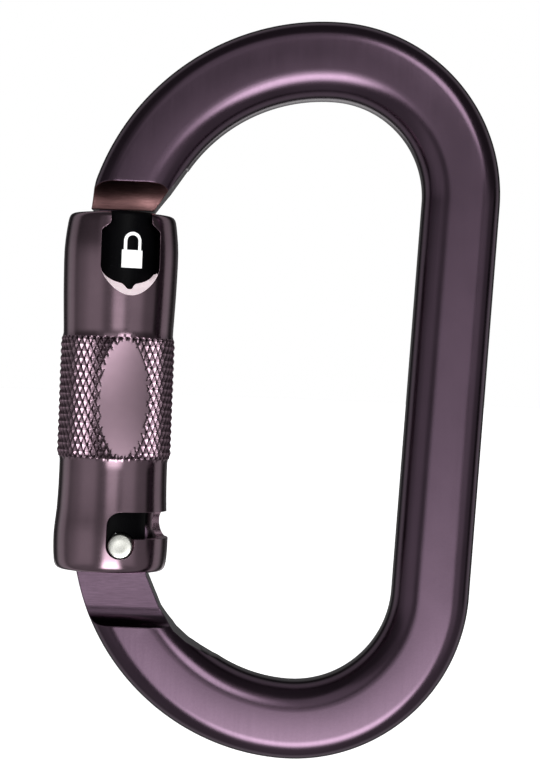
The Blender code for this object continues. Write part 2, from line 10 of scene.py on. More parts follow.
import bmesh
import bpy
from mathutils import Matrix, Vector


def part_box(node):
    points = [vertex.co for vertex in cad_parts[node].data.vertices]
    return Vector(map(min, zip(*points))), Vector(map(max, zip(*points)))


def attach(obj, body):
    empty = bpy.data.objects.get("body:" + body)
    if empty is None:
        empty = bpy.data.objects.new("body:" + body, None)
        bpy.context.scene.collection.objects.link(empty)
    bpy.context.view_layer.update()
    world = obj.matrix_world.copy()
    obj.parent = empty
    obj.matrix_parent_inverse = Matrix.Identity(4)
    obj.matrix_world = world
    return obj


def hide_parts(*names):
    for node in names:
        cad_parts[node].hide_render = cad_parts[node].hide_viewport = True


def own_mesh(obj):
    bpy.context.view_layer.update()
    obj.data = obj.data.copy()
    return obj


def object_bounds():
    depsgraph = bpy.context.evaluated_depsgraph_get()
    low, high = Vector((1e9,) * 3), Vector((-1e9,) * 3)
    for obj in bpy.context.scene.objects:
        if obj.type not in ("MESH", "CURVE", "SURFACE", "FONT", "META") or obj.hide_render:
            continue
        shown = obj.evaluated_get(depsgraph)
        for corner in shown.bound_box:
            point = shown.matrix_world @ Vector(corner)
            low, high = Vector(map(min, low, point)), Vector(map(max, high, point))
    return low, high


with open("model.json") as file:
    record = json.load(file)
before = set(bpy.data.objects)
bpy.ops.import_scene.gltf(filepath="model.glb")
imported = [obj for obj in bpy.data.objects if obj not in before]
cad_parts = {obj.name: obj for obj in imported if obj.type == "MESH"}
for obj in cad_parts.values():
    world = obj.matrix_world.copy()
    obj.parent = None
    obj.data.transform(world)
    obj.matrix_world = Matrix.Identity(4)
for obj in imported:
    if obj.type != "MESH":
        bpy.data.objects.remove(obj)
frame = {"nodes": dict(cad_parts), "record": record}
CAD_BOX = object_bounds()

MM = 0.001

# The gate's axis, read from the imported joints
JOINTS = {j["name"]: j for j in frame["record"]["behaviour"]["joints"]}
GATE_ORIGIN = Vector(JOINTS["sleeve_twist"]["pos_m"])
HINGE_ORIGIN = Vector(JOINTS["gate_swing"]["pos_m"])
HINGE_X = HINGE_ORIGIN.x - GATE_ORIGIN.x

# Frame
BAR_WIDTH, BAR_DEPTH, BAR_CORNERS = 11.5 * MM, 10.6 * MM, (3.1 * MM, 4.2 * MM)
BOW_START = (1.2 * MM, 51.8 * MM)
NOSE_HEADING = math.radians(73.5)
NOSE_RUN = 3.6 * MM
BOW_ARCS_TOP = ((30.4 * MM, math.radians(76.0)), (20.0 * MM, math.radians(89.8)))
SPINE_LENGTH = 58.7 * MM
BOW_ARCS_BOTTOM = ((20.4 * MM, math.radians(90.6)), (28.2 * MM, math.radians(73.0)))
TONGUE_RUN = 2.4 * MM
ARC_STEP = math.radians(1.5)
NOSE_HALF, NOSE_FOOT = 2.2 * MM, 49.95 * MM
NOSE_MILL_RADIUS, NOSE_MILL_Z = 4.6 * MM, 49.7 * MM
KEY_LEFT, KEY_NECK_RIGHT, KEY_BULB_RIGHT = -3.4 * MM, 0.5 * MM, 2.6 * MM
KEY_LEDGE_Z, KEY_BOTTOM_Z, KEY_CORNER = 47.6 * MM, 44.9 * MM, 0.6 * MM
KEY_HALF, KEY_ROOT = 1.85 * MM, 1.0 * MM
NOSE_TRIM_LEFT = ((-3.84 * MM, 55.5 * MM), (-4.6 * MM, 49.9 * MM))
NOSE_TRIM_RIGHT = ((9.39 * MM, 56.5 * MM), (4.75 * MM, 49.9 * MM))
NOSE_TRIM_LOW = 46.0 * MM
NOSE_CLEAR_HALF, NOSE_CLEAR_LOW = 9.0 * MM, 44.0 * MM
TONGUE_HALF = 2.5 * MM
TONGUE_LEFT, TONGUE_RIGHT, TONGUE_TOP = -1.9 * MM, 5.7 * MM, 3.2 * MM
TONGUE_ROOT, TONGUE_CORNER, TONGUE_SPREAD = -6.0 * MM, 1.4 * MM, 1.4 * MM
TONGUE_MILL_RADIUS, TONGUE_MILL_Z = 2.8 * MM, -9.3 * MM
TONGUE_SIDE = 5.72 * MM
# The neck's trimmed edge as (x, z) in mm.
NECK_TRIM = (
    (5.65, -4.4), (7.9, -9.4), (10.2, -12.6), (12.1, -14.2), (14.1, -15.35), (16.0, -16.3), (17.4, -16.7),
)
NECK_TRIM_REACH, NECK_TRIM_TOP = 20.0 * MM, 6.0 * MM
TONGUE_BLANK_HALF = 3.6 * MM

# Hinge pin: its front end reaches through the sleeve's slot and guides it.
PIN_RADIUS, PIN_BORE = 1.8 * MM, 1.95 * MM
PIN_FRONT, PIN_BACK = -8.3 * MM, 5.7 * MM
PIN_FRONT_EDGE, PIN_BACK_EDGE, PIN_BACK_FACE = 0.2 * MM, 0.25 * MM, 1.55 * MM
# The front face as (depth, radius) in mm: a shallow turned centre, then a small chamfer.
PIN_FACE = ((0.03, 0.1), (0.015, 0.8), (0.0, 1.5), (0.03, 1.66), (0.1, 1.76))

# Gate
GATE_RADIUS, GATE_BOTTOM, GATE_TOP, GATE_EDGE = 6.0 * MM, -3.2 * MM, 49.9 * MM, 0.5 * MM
TIP_REACH, FORK_HALF, FORK_TOP = 49.6 * MM, 2.8 * MM, 5.1 * MM
POCKET_HALF, POCKET_FLOOR, POCKET_BACK = 2.2 * MM, 44.1 * MM, 3.0 * MM
TOOTH_X, TOOTH_Z = 0.9 * MM, 48.0 * MM
SEAT_GROOVE_RADIUS = 5.6 * MM
SEAT_GROOVE = (7.9 * MM, 9.5 * MM)
PLUNGER_X, PLUNGER_BORE = 3.6 * MM, 1.4 * MM
PLUNGER_BORE_LOW, PLUNGER_BORE_TOP = 1.0 * MM, 27.0 * MM
GATE_SOFTENING = 0.12 * MM

# Sleeve: smooth profile as (z, radius) in mm, and its openings.
LOWER_PROFILE = (
    (-4.05, 7.35), (-4.02, 7.66), (-3.9, 7.94), (-3.65, 8.18), (-3.25, 8.34), (-2.7, 8.45), (-1.8, 8.53),
    (-0.8, 8.58), (0.0, 8.6), (1.2, 8.6), (2.4, 8.52), (3.6, 8.4), (5.0, 8.27), (7.0, 8.18), (9.0, 8.13),
    (11.0, 8.11), (12.3, 8.12), (12.75, 8.2),
)
UPPER_PROFILE = (
    (30.85, 8.34), (31.3, 8.24), (32.2, 8.26), (34.5, 8.36), (37.0, 8.46), (39.5, 8.53), (42.0, 8.58),
    (43.8, 8.57), (45.3, 8.48), (46.6, 8.34), (47.8, 8.18), (48.5, 8.05), (48.9, 7.9), (49.15, 7.68),
    (49.27, 7.45), (49.3, 7.2),
)
KNURL_Z = (12.9 * MM, 30.7 * MM)
KNURL_RADIUS = 8.58 * MM
KNURL_DEPTH = 0.38 * MM
KNURL_COUNT = 50
KNURL_ANGLE = math.radians(27)
KNURL_FLAT = 0.9
KNURL_EDGE, KNURL_EDGE_DROP = 0.35 * MM, 0.16 * MM
STEPS_PER_DIAMOND, KNURL_ROWS = 8, 160
SLEEVE_BOTTOM, SLEEVE_TOP = -4.05 * MM, 49.3 * MM
SLEEVE_BORE, SLEEVE_MOUTH_BORE, SLEEVE_MOUTH_TOP = 7.2 * MM, 7.3 * MM, -3.2 * MM
SLEEVE_GUIDE_BORE, SLEEVE_SHOULDER = 6.3 * MM, 32.6 * MM
SLEEVE_TOP_CHAMFER, SLEEVE_MOUTH_CHAMFER = 0.4 * MM, 0.1 * MM
SLEEVE_TWIST = math.radians(JOINTS["sleeve_twist"]["range_deg"][1])
WINDOW_AZIMUTH = math.radians(15.0)
WINDOW_HALF, WINDOW_BOTTOM = 4.4 * MM, 38.7 * MM
WINDOW_BOWL, WINDOW_RAMP, WINDOW_SIDE_FLARE = 2.7 * MM, 1.75 * MM, 0.08 * MM
WINDOW_DEPTHS = (4.0 * MM, 6.7 * MM, 8.5 * MM, 12.0 * MM)
# The bright ramp ends this share of the way up the bowl.
RAMP_SHARE = 0.62
POINT_HALF, POINT_DROP = 1.1 * MM, 0.8 * MM
LIP_HALF, LIP_Z = 3.05 * MM, (46.3 * MM, 47.9 * MM)
GUIDE_AZIMUTH = math.asin(2.0 / 8.2)
GUIDE_HALF, GUIDE_WRAP_RADIUS = 2.0 * MM, 8.0 * MM
GUIDE_POCKET_Z, GUIDE_ARM_Z = -1.92 * MM, (1.04 * MM, 5.0 * MM)
GUIDE_DEPTHS, GUIDE_GAP = (5.0 * MM, 9.6 * MM), 0.02 * MM
THUMB_AZIMUTH, THUMB_Z = math.radians(13.0), 21.8 * MM
THUMB_FLOOR = 7.68 * MM
THUMB_RADII = (30.0 * MM, 64.0 * MM)
THUMB_SPAN = math.radians(50)
# A face counts as knurl this far outside the bore, and as dish within this of its surface.
BAND_CLEARANCE, DISH_CLEARANCE = 0.1 * MM, 0.01 * MM
OPEN_NOTCH_HALF, OPEN_NOTCH_TOP, OPEN_NOTCH_INNER = 2.9 * MM, 5.0 * MM, 2.0 * MM

# Padlock pictogram on the gate: a solid body and an open shackle, printed on the round.
PICTOGRAM_AZIMUTH = math.radians(20.0)
PICTOGRAM_RADIUS = GATE_RADIUS + 0.03 * MM
PICTOGRAM_Z = 41.15 * MM
# Half width and height of the body; radius, half stroke and leg of the shackle.
PADLOCK_BODY = (1.6 * MM, 2.65 * MM)
SHACKLE = (1.1 * MM, 0.24 * MM, 1.35 * MM)

CUTTER_REACH, CUTTER_TOP, CUTTER_LOW = 14.0 * MM, 56.0 * MM, -8.0 * MM
ROUND_STEPS = 128


# ---------------------------------------------------------------- meshes


def skin_loops(loops, closed=False):
    """Joins rings of equal length into a tube, with end caps unless it closes on itself."""
    builder = bmesh.new()
    rings = [[builder.verts.new(point) for point in loop] for loop in loops]
    pairs = list(zip(rings, rings[1:]))
    if closed:
        pairs.append((rings[-1], rings[0]))
    count = len(rings[0])
    for ring, following in pairs:
        for i in range(count):
            j = (i + 1) % count
            builder.faces.new((ring[i], ring[j], following[j], following[i]))
    if not closed:
        builder.faces.new(rings[0])
        builder.faces.new(list(reversed(rings[-1])))
    return builder


def make_piece(name, builder, location=(0.0, 0.0, 0.0), material=None):
    """Makes an object from a bmesh, with its points placed in the frame and its faces turned outwards."""
    bmesh.ops.recalc_face_normals(builder, faces=builder.faces)
    bmesh.ops.translate(builder, vec=Vector(location), verts=builder.verts)
    mesh = bpy.data.meshes.new(name)
    builder.to_mesh(mesh)
    builder.free()
    made = bpy.data.objects.new(name, mesh)
    bpy.context.scene.collection.objects.link(made)
    if material:
        mesh.materials.append(material)
    return made


def carve(target, steps):
    """Applies Booleans to target in order, then removes the cutters. Cut faces keep a cutter's material."""
    for builder, location, operation, material in steps:
        cutter = make_piece("cutter", builder, location, material)
        modifier = target.modifiers.new("carve", "BOOLEAN")
        modifier.operation = operation
        modifier.solver = "EXACT"
        modifier.object = cutter
        if material:
            modifier.material_mode = "TRANSFER"
        graph = bpy.context.evaluated_depsgraph_get()
        mesh = bpy.data.meshes.new_from_object(target.evaluated_get(graph))
        target.modifiers.clear()
        old = target.data
        target.data = mesh
        bpy.data.meshes.remove(old)
        bpy.data.objects.remove(cutter, do_unlink=True)


def smooth(piece, angle=28.0):
    piece.data.shade_smooth()
    piece.data.set_sharp_from_angle(angle=math.radians(angle))


def soften(piece, width):
    """Rounds a piece's sharp edges."""
    bevel = piece.modifiers.new("edges", "BEVEL")
    bevel.width = width
    bevel.segments = 2
    bevel.limit_method = "ANGLE"
    bevel.angle_limit = math.radians(35.0)
    bevel.harden_normals = True


def circle_loop(radius, z, steps=ROUND_STEPS):
    angles = [math.tau * i / steps for i in range(steps)]
    return [(radius * math.sin(a), -radius * math.cos(a), z) for a in angles]


def arc_points(centre, radius, start, end, steps=16):
    angles = [math.radians(start + (end - start) * i / steps) for i in range(steps + 1)]
    return [(centre[0] + radius * math.cos(a), centre[1] + radius * math.sin(a)) for a in angles]


def rounded_rectangle(half_width, half_height, corners):
    """The bar's section. The corners' radii are for its outer and its inner side."""
    points = []
    for i, (u, v) in enumerate(((1, 1), (-1, 1), (-1, -1), (1, -1))):
        corner = corners[0] if u > 0 else corners[1]
        centre = (u * (half_width - corner), v * (half_height - corner))
        points += arc_points(centre, corner, 90 * i, 90 * i + 90, 12)
    return points


def prism_y(outline, front, back):
    return skin_loops([[(x, y, z) for x, z in outline] for y in (front, back)])


def through(outline):
    """A cutter with an (x, z) outline, from front to back through everything."""
    return prism_y(outline, -CUTTER_REACH, CUTTER_REACH)


def prism_x(outline, left, right):
    return skin_loops([[(x, y, z) for y, z in outline] for x in (left, right)])


def at_azimuth(lateral, radial, z, azimuth):
    """A point given across and out from the gate's axis, turned to an azimuth. 0 is the front."""
    return (
        radial * math.sin(azimuth) + lateral * math.cos(azimuth),
        -radial * math.cos(azimuth) + lateral * math.sin(azimuth),
        z,
    )


# ---------------------------------------------------------------- frame


def frame_path():
    """Stations along the bar as (x, z, heading), from the nose round to the tongue."""
    x, z = BOW_START
    heading = NOSE_HEADING
    nose = (x - NOSE_RUN * math.cos(heading), z - NOSE_RUN * math.sin(heading), heading)
    stations = [nose, (x, z, heading)]
    for arcs, run in ((BOW_ARCS_TOP, SPINE_LENGTH), (BOW_ARCS_BOTTOM, TONGUE_RUN)):
        for radius, sweep in arcs:
            steps = round(sweep / ARC_STEP)
            turn = sweep / steps
            chord = 2 * radius * math.sin(turn / 2)
            for _ in range(steps):
                x += chord * math.cos(heading - turn / 2)
                z += chord * math.sin(heading - turn / 2)
                heading -= turn
                stations.append((x, z, heading))
        x += run * math.cos(heading)
        z += run * math.sin(heading)
        stations.append((x, z, heading))
    return stations


def key_outline():
    top = NOSE_FOOT + KEY_ROOT
    low = KEY_BOTTOM_Z + KEY_CORNER
    points = [(KEY_LEFT, top)]
    points += arc_points((KEY_LEFT + KEY_CORNER, low), KEY_CORNER, 180, 270, 6)
    points += arc_points((KEY_BULB_RIGHT - KEY_CORNER, low), KEY_CORNER, 270, 360, 6)
    points += arc_points((KEY_BULB_RIGHT - KEY_CORNER, KEY_LEDGE_Z - KEY_CORNER), KEY_CORNER, 0, 90, 6)
    return points + [(KEY_NECK_RIGHT, KEY_LEDGE_Z), (KEY_NECK_RIGHT, top)]


def tongue_outline():
    top = TONGUE_TOP - TONGUE_CORNER
    points = [(TONGUE_LEFT - TONGUE_SPREAD, TONGUE_ROOT), (TONGUE_RIGHT, TONGUE_ROOT)]
    points += arc_points((TONGUE_RIGHT - TONGUE_CORNER, top), TONGUE_CORNER, 0, 90, 8)
    points += arc_points((TONGUE_LEFT + TONGUE_CORNER, top), TONGUE_CORNER, 90, 180, 8)
    return points


def nose_trim_outline(edge, side):
    upper, lower = edge
    far = side * CUTTER_REACH
    return [upper, lower, (lower[0], NOSE_TRIM_LOW), (far, NOSE_TRIM_LOW), (far, upper[1])]


def neck_trim_outline():
    slope = [(x * MM, z * MM) for x, z in NECK_TRIM]
    far = [(NECK_TRIM_REACH, slope[-1][1]), (NECK_TRIM_REACH, NECK_TRIM_TOP)]
    return [(TONGUE_SIDE, NECK_TRIM_TOP)] + slope + far


def mill_outline(side, half, radius, level, angles, far):
    """A cutter's (y, z) outline: a round-cornered step that leaves the end of the bar thin."""
    points = arc_points((half + radius, level), radius, *angles, steps=28)
    points += [(CUTTER_REACH, points[-1][1]), (CUTTER_REACH, far), (half, far)]
    return [(side * y, z) for y, z in points]


def pin_bore():
    return through(arc_points((0.0, 0.0), PIN_BORE, 0, 360 * 63 / 64, 63))


def build_frame(material, milled, nose_milled):
    section = rounded_rectangle(BAR_WIDTH / 2, BAR_DEPTH / 2, BAR_CORNERS)
    loops = []
    for x, z, heading in frame_path():
        out_x, out_z = -math.sin(heading), math.cos(heading)
        loops.append([(x + u * out_x, v, z + u * out_z) for u, v in section])
    piece = make_piece("frame_forging", skin_loops(loops), GATE_ORIGIN, material)
    half, low = NOSE_CLEAR_HALF, NOSE_CLEAR_LOW
    trims = (
        [(-half, low), (half, low), (half, NOSE_FOOT), (-half, NOSE_FOOT)],
        nose_trim_outline(NOSE_TRIM_LEFT, -1), nose_trim_outline(NOSE_TRIM_RIGHT, 1), neck_trim_outline(),
    )
    steps = [(through(outline), GATE_ORIGIN, "DIFFERENCE", material) for outline in trims]
    steps.append((prism_y(key_outline(), -KEY_HALF, KEY_HALF), GATE_ORIGIN, "UNION", material))
    tongue_blank = prism_y(tongue_outline(), -TONGUE_BLANK_HALF, TONGUE_BLANK_HALF)
    steps.append((tongue_blank, GATE_ORIGIN, "UNION", material))
    for side in (-1, 1):
        nose = mill_outline(side, NOSE_HALF, NOSE_MILL_RADIUS, NOSE_MILL_Z, (180, 90), NOSE_CLEAR_LOW)
        tongue = mill_outline(side, TONGUE_HALF, TONGUE_MILL_RADIUS, TONGUE_MILL_Z, (180, 270), -CUTTER_LOW)
        for outline, finish in ((nose, nose_milled), (tongue, milled)):
            cutter = prism_x(outline, -CUTTER_REACH, CUTTER_REACH)
            steps.append((cutter, GATE_ORIGIN, "DIFFERENCE", finish))
    steps.append((pin_bore(), HINGE_ORIGIN, "DIFFERENCE", milled))
    carve(piece, steps)
    smooth(piece)
    return piece


def build_pin(material):
    """A bright pin with a small chamfer and a shallow turned centre on its front face."""
    rows = [(PIN_FRONT + depth * MM, radius * MM) for depth, radius in PIN_FACE]
    rows += [(PIN_FRONT + PIN_FRONT_EDGE, PIN_RADIUS), (PIN_BACK - PIN_BACK_EDGE, PIN_RADIUS)]
    rows.append((PIN_BACK, PIN_BACK_FACE))
    loops = [[(x, y, z) for x, z, _ in circle_loop(r, 0.0, 96)] for y, r in rows]
    piece = make_piece("hinge_pin_turned", skin_loops(loops), HINGE_ORIGIN, material)
    smooth(piece, 24)
    return piece


# ---------------------------------------------------------------- gate


def build_gate(material):
    rows = (
        (GATE_BOTTOM, GATE_RADIUS - GATE_EDGE), (GATE_BOTTOM + 0.15 * MM, GATE_RADIUS - 0.15 * MM),
        (GATE_BOTTOM + GATE_EDGE, GATE_RADIUS),
        (SEAT_GROOVE[0], GATE_RADIUS), (SEAT_GROOVE[0], SEAT_GROOVE_RADIUS),
        (SEAT_GROOVE[1], SEAT_GROOVE_RADIUS), (SEAT_GROOVE[1], GATE_RADIUS),
        (GATE_TOP - 2 * GATE_EDGE, GATE_RADIUS), (GATE_TOP - 1.3 * GATE_EDGE, GATE_RADIUS - 0.08 * MM),
        (GATE_TOP - 0.7 * GATE_EDGE, GATE_RADIUS - 0.3 * MM),
        (GATE_TOP - 0.2 * GATE_EDGE, GATE_RADIUS - 0.7 * MM),
        (GATE_TOP, GATE_RADIUS - 2 * GATE_EDGE),
    )
    blank = skin_loops([circle_loop(radius, z) for z, radius in rows])
    piece = make_piece("gate_arm", blank, GATE_ORIGIN, material)
    arc = arc_points((HINGE_X, 0.0), TIP_REACH, 102, 78, 24)
    tip = arc + [(CUTTER_REACH, CUTTER_TOP), (-CUTTER_REACH, CUTTER_TOP)]
    fork = [
        (-CUTTER_REACH, CUTTER_LOW), (CUTTER_REACH, CUTTER_LOW), (CUTTER_REACH, FORK_TOP),
        (-CUTTER_REACH, FORK_TOP),
    ]
    pocket = [
        (-CUTTER_REACH, POCKET_FLOOR), (POCKET_BACK, POCKET_FLOOR), (POCKET_BACK, TOOTH_Z),
        (TOOTH_X, TOOTH_Z), (TOOTH_X, CUTTER_TOP), (-CUTTER_REACH, CUTTER_TOP),
    ]
    bore = [[(x + PLUNGER_X, y, z) for x, y, _ in circle_loop(PLUNGER_BORE, 0.0, 48)]
            for z in (PLUNGER_BORE_LOW, PLUNGER_BORE_TOP)]
    carve(piece, [
        (through(tip), GATE_ORIGIN, "DIFFERENCE", None),
        (prism_y(fork, -FORK_HALF, FORK_HALF), GATE_ORIGIN, "DIFFERENCE", None),
        (prism_y(pocket, -POCKET_HALF, POCKET_HALF), GATE_ORIGIN, "DIFFERENCE", None),
        (skin_loops(bore), GATE_ORIGIN, "DIFFERENCE", None),
        (pin_bore(), HINGE_ORIGIN, "DIFFERENCE", None),
    ])
    smooth(piece)
    soften(piece, GATE_SOFTENING)
    return piece


def wrapped_strip(name, rows, material):
    """A thin printed patch on the gate's round front, from rows of (across, up) points."""
    builder = bmesh.new()
    grid = []
    for row in rows:
        grid.append([
            builder.verts.new(at_azimuth(0.0, PICTOGRAM_RADIUS, PICTOGRAM_Z + v,
                                         PICTOGRAM_AZIMUTH + u / PICTOGRAM_RADIUS))
            for u, v in row
        ])
    for low, high in zip(grid, grid[1:]):
        for i in range(len(low) - 1):
            builder.faces.new((low[i], low[i + 1], high[i + 1], high[i]))
    piece = make_piece(name, builder, GATE_ORIGIN, material)
    piece.data.shade_smooth()
    return piece


def build_padlock(material):
    half, height = PADLOCK_BODY
    body = [[(half * (k / 6 - 1), height * i / 6) for k in range(13)] for i in range(7)]
    radius, stroke, leg = SHACKLE
    inner, outer = [], []
    for i in range(5):
        inner.append((radius - stroke, height + leg * i / 4))
        outer.append((radius + stroke, height + leg * i / 4))
    for i in range(1, 25):
        angle = math.pi * i / 24
        for ring, reach in ((inner, radius - stroke), (outer, radius + stroke)):
            ring.append((reach * math.cos(angle), height + leg + reach * math.sin(angle)))
    for i in range(3, -1, -1):
        inner.append((stroke - radius, height + leg * i / 4))
        outer.append((-stroke - radius, height + leg * i / 4))
    return [
        wrapped_strip("padlock_body", body, material),
        wrapped_strip("padlock_shackle", [inner, outer], material),
    ]


# ---------------------------------------------------------------- sleeve


def ridge(t):
    """1 on a groove's crest line, 0 at its bottom."""
    return 1.0 - 2.0 * abs(t - round(t))


def knurl_radius(turn, z):
    """The diamond knurl, with the smooth thumb oval worn into it."""
    pitch = math.tau * KNURL_RADIUS / KNURL_COUNT
    along = KNURL_RADIUS * turn / pitch
    lean = z * math.tan(KNURL_ANGLE) / pitch
    height = min(ridge(along + lean), ridge(along - lean), KNURL_FLAT) / KNURL_FLAT
    edge = min(1.0, (z - KNURL_Z[0]) / KNURL_EDGE, (KNURL_Z[1] - z) / KNURL_EDGE)
    radius = KNURL_RADIUS - KNURL_DEPTH * (1.0 - height) - KNURL_EDGE_DROP * (1.0 - edge)
    offset = thumb_offset(turn)
    if abs(offset) < THUMB_SPAN:
        radius = min(radius, dish_radius(offset, z))
    return radius


def thumb_offset(turn):
    """An azimuth from the middle of the thumb dish, from -pi to pi."""
    return (turn - THUMB_AZIMUTH + math.pi) % math.tau - math.pi


def paint_band(piece, knurled, thumb):
    """Gives the knurl and the thumb dish their own finishes."""
    piece.data.materials.append(knurled)
    piece.data.materials.append(thumb)
    for face in piece.data.polygons:
        place = face.center - GATE_ORIGIN
        radius = math.hypot(place.x, place.y)
        if KNURL_Z[0] < place.z < KNURL_Z[1] and radius > SLEEVE_BORE + BAND_CLEARANCE:
            offset = thumb_offset(math.atan2(place.x, -place.y))
            in_dish = abs(offset) < THUMB_SPAN and radius > dish_radius(offset, place.z) - DISH_CLEARANCE
            face.material_index = 2 if in_dish else 1


def dish_radius(offset, z):
    """Distance from the gate's axis to the thumb dish, at an azimuth offset from its middle."""
    across_radius, along_radius = THUMB_RADII
    u = THUMB_FLOOR * math.tan(offset)
    dish = THUMB_FLOOR + (z - THUMB_Z) ** 2 / (2 * along_radius) - u * u / (2 * across_radius)
    return dish / math.cos(offset)


def sleeve_blank():
    steps = KNURL_COUNT * STEPS_PER_DIAMOND
    turns = [math.tau * i / steps for i in range(steps)]

    def ring(z, radius_at):
        return [at_azimuth(0.0, radius_at(t), z, t) for t in turns]

    inside = (
        (SLEEVE_TOP, SLEEVE_GUIDE_BORE + SLEEVE_TOP_CHAMFER),
        (SLEEVE_TOP - SLEEVE_TOP_CHAMFER, SLEEVE_GUIDE_BORE),
        (SLEEVE_SHOULDER, SLEEVE_GUIDE_BORE), (SLEEVE_SHOULDER, SLEEVE_BORE),
        (SLEEVE_MOUTH_TOP, SLEEVE_BORE), (SLEEVE_MOUTH_TOP - SLEEVE_MOUTH_CHAMFER, SLEEVE_MOUTH_BORE),
        (SLEEVE_BOTTOM, SLEEVE_MOUTH_BORE),
    )
    loops = [ring(z, lambda t, r=r: r) for z, r in inside]
    loops += [ring(z * MM, lambda t, r=r: r * MM) for z, r in LOWER_PROFILE]
    low, high = KNURL_Z
    for i in range(KNURL_ROWS + 1):
        z = low + (high - low) * i / KNURL_ROWS
        loops.append(ring(z, lambda t, z=z: knurl_radius(t, z)))
    loops += [ring(z * MM, lambda t, r=r: r * MM) for z, r in UPPER_PROFILE]
    return skin_loops(loops, closed=True)


def window_outline(share):
    """The window as (across, z), with lips at its mouth. The share is how far out its ramp is."""
    flare = share * WINDOW_SIDE_FLARE
    half, lip = WINDOW_HALF + flare, LIP_HALF + flare
    lip_low, lip_high = LIP_Z
    right = [(lip, SLEEVE_TOP + 3 * MM)]
    for i in range(13):
        ease = (1 - math.cos(math.pi * i / 12)) / 2
        right.append((lip + (half - lip) * ease, lip_high + (lip_low - lip_high) * i / 12))
    bowl_top = WINDOW_BOTTOM + WINDOW_BOWL
    drop = WINDOW_BOWL + share * WINDOW_RAMP
    for i in range(1, 32):
        angle = math.radians(90 * i / 32)
        right.append((half * math.cos(angle), bowl_top - drop * math.sin(angle)))
    return right + [(0.0, bowl_top - drop)] + [(-u, z) for u, z in reversed(right)]


def window_cutter():
    """Straight through the wall's inner part, then ramped down below to leave a bright crescent."""
    loops = []
    for radial, share in zip(WINDOW_DEPTHS, (0.0, 0.0, 1.0, 1.0)):
        loops.append([at_azimuth(u, radial, z, WINDOW_AZIMUTH) for u, z in window_outline(share)])
    return skin_loops(loops)


def window_point_cutter():
    """The small pointed notch in the middle of the window's bowl."""
    shoulder, low = WINDOW_BOTTOM + 0.05 * MM, WINDOW_BOTTOM - POINT_DROP
    right = [(POINT_HALF, WINDOW_BOTTOM + 1.5 * MM), (POINT_HALF, shoulder)]
    for i in range(1, 9):
        share = i / 9
        right.append((POINT_HALF * (1 - 0.68 * share), shoulder + (low - shoulder) * share ** 1.6))
    right.append((0.2 * POINT_HALF, low))
    outline = right + [(-u, z) for u, z in reversed(right)]
    return skin_loops([[at_azimuth(u, r, z, WINDOW_AZIMUTH) for u, z in outline]
                       for r in (WINDOW_DEPTHS[0], CUTTER_REACH)])


def guide_slot():
    """The L-shaped guide slot, wrapped round the sleeve: a pocket, then a level arm."""
    low, high = GUIDE_ARM_Z
    half = (high - low) / 2
    base, shoulder = GUIDE_POCKET_Z + GUIDE_HALF, high - GUIDE_HALF
    stations = []
    for i in range(33):
        across = GUIDE_HALF * math.sin(math.radians(-90 + 180 * i / 32))
        bulge = math.sqrt(max(GUIDE_HALF ** 2 - across ** 2, 0.0))
        stations.append((across, base - bulge, shoulder + bulge if across < 0 else high))
    arm_end = SLEEVE_TWIST * GUIDE_WRAP_RADIUS
    start = GUIDE_HALF + GUIDE_GAP
    stations += [(start + (arm_end - start) * i / 44, low, high) for i in range(45)]
    for i in range(1, 16):
        angle = math.radians(88 * i / 15)
        rise = half * math.cos(angle)
        along = arm_end + GUIDE_GAP + half * math.sin(angle)
        stations.append((along, low + half - rise, low + half + rise))
    inner, outer = GUIDE_DEPTHS
    loops = []
    for along, bottom, top in stations:
        turn = GUIDE_AZIMUTH + along / GUIDE_WRAP_RADIUS
        corners = ((inner, bottom), (outer, bottom), (outer, top), (inner, top))
        loops.append([at_azimuth(0.0, r, z, turn) for r, z in corners])
    return skin_loops(loops)


def open_notch():
    """The notch in the sleeve's foot that comes over the tongue once the sleeve is turned."""
    half = OPEN_NOTCH_HALF
    centre_z = OPEN_NOTCH_TOP - half
    low = SLEEVE_BOTTOM - 2 * MM
    outline = [(half, low)] + arc_points((0.0, centre_z), half, 0, 180, 20) + [(-half, low)]
    azimuth = math.radians(90) + SLEEVE_TWIST
    depths = (OPEN_NOTCH_INNER, CUTTER_REACH)
    return skin_loops([[at_azimuth(u, r, z, azimuth) for u, z in outline] for r in depths])


def build_sleeve(material, milled, chamfer, knurled, thumb):
    """The sleeve, with the window's bright ramp kept to the lower part of its bowl."""
    piece = make_piece("sleeve_knurled", sleeve_blank(), GATE_ORIGIN, material)
    paint_band(piece, knurled, thumb)
    carve(piece, [
        (window_cutter(), GATE_ORIGIN, "DIFFERENCE", chamfer),
        (window_point_cutter(), GATE_ORIGIN, "DIFFERENCE", material),
        (guide_slot(), GATE_ORIGIN, "DIFFERENCE", milled),
        (open_notch(), GATE_ORIGIN, "DIFFERENCE", milled),
    ])
    names = [slot.material.name for slot in piece.material_slots]
    ramp, plain = names.index(chamfer.name), names.index(material.name)
    ramp_top = GATE_ORIGIN.z + WINDOW_BOTTOM + RAMP_SHARE * WINDOW_BOWL
    for face in piece.data.polygons:
        if face.material_index == ramp and face.center.z > ramp_top:
            face.material_index = plain
    smooth(piece, 30)
    return piece


# ---------------------------------------------------------------- finishes


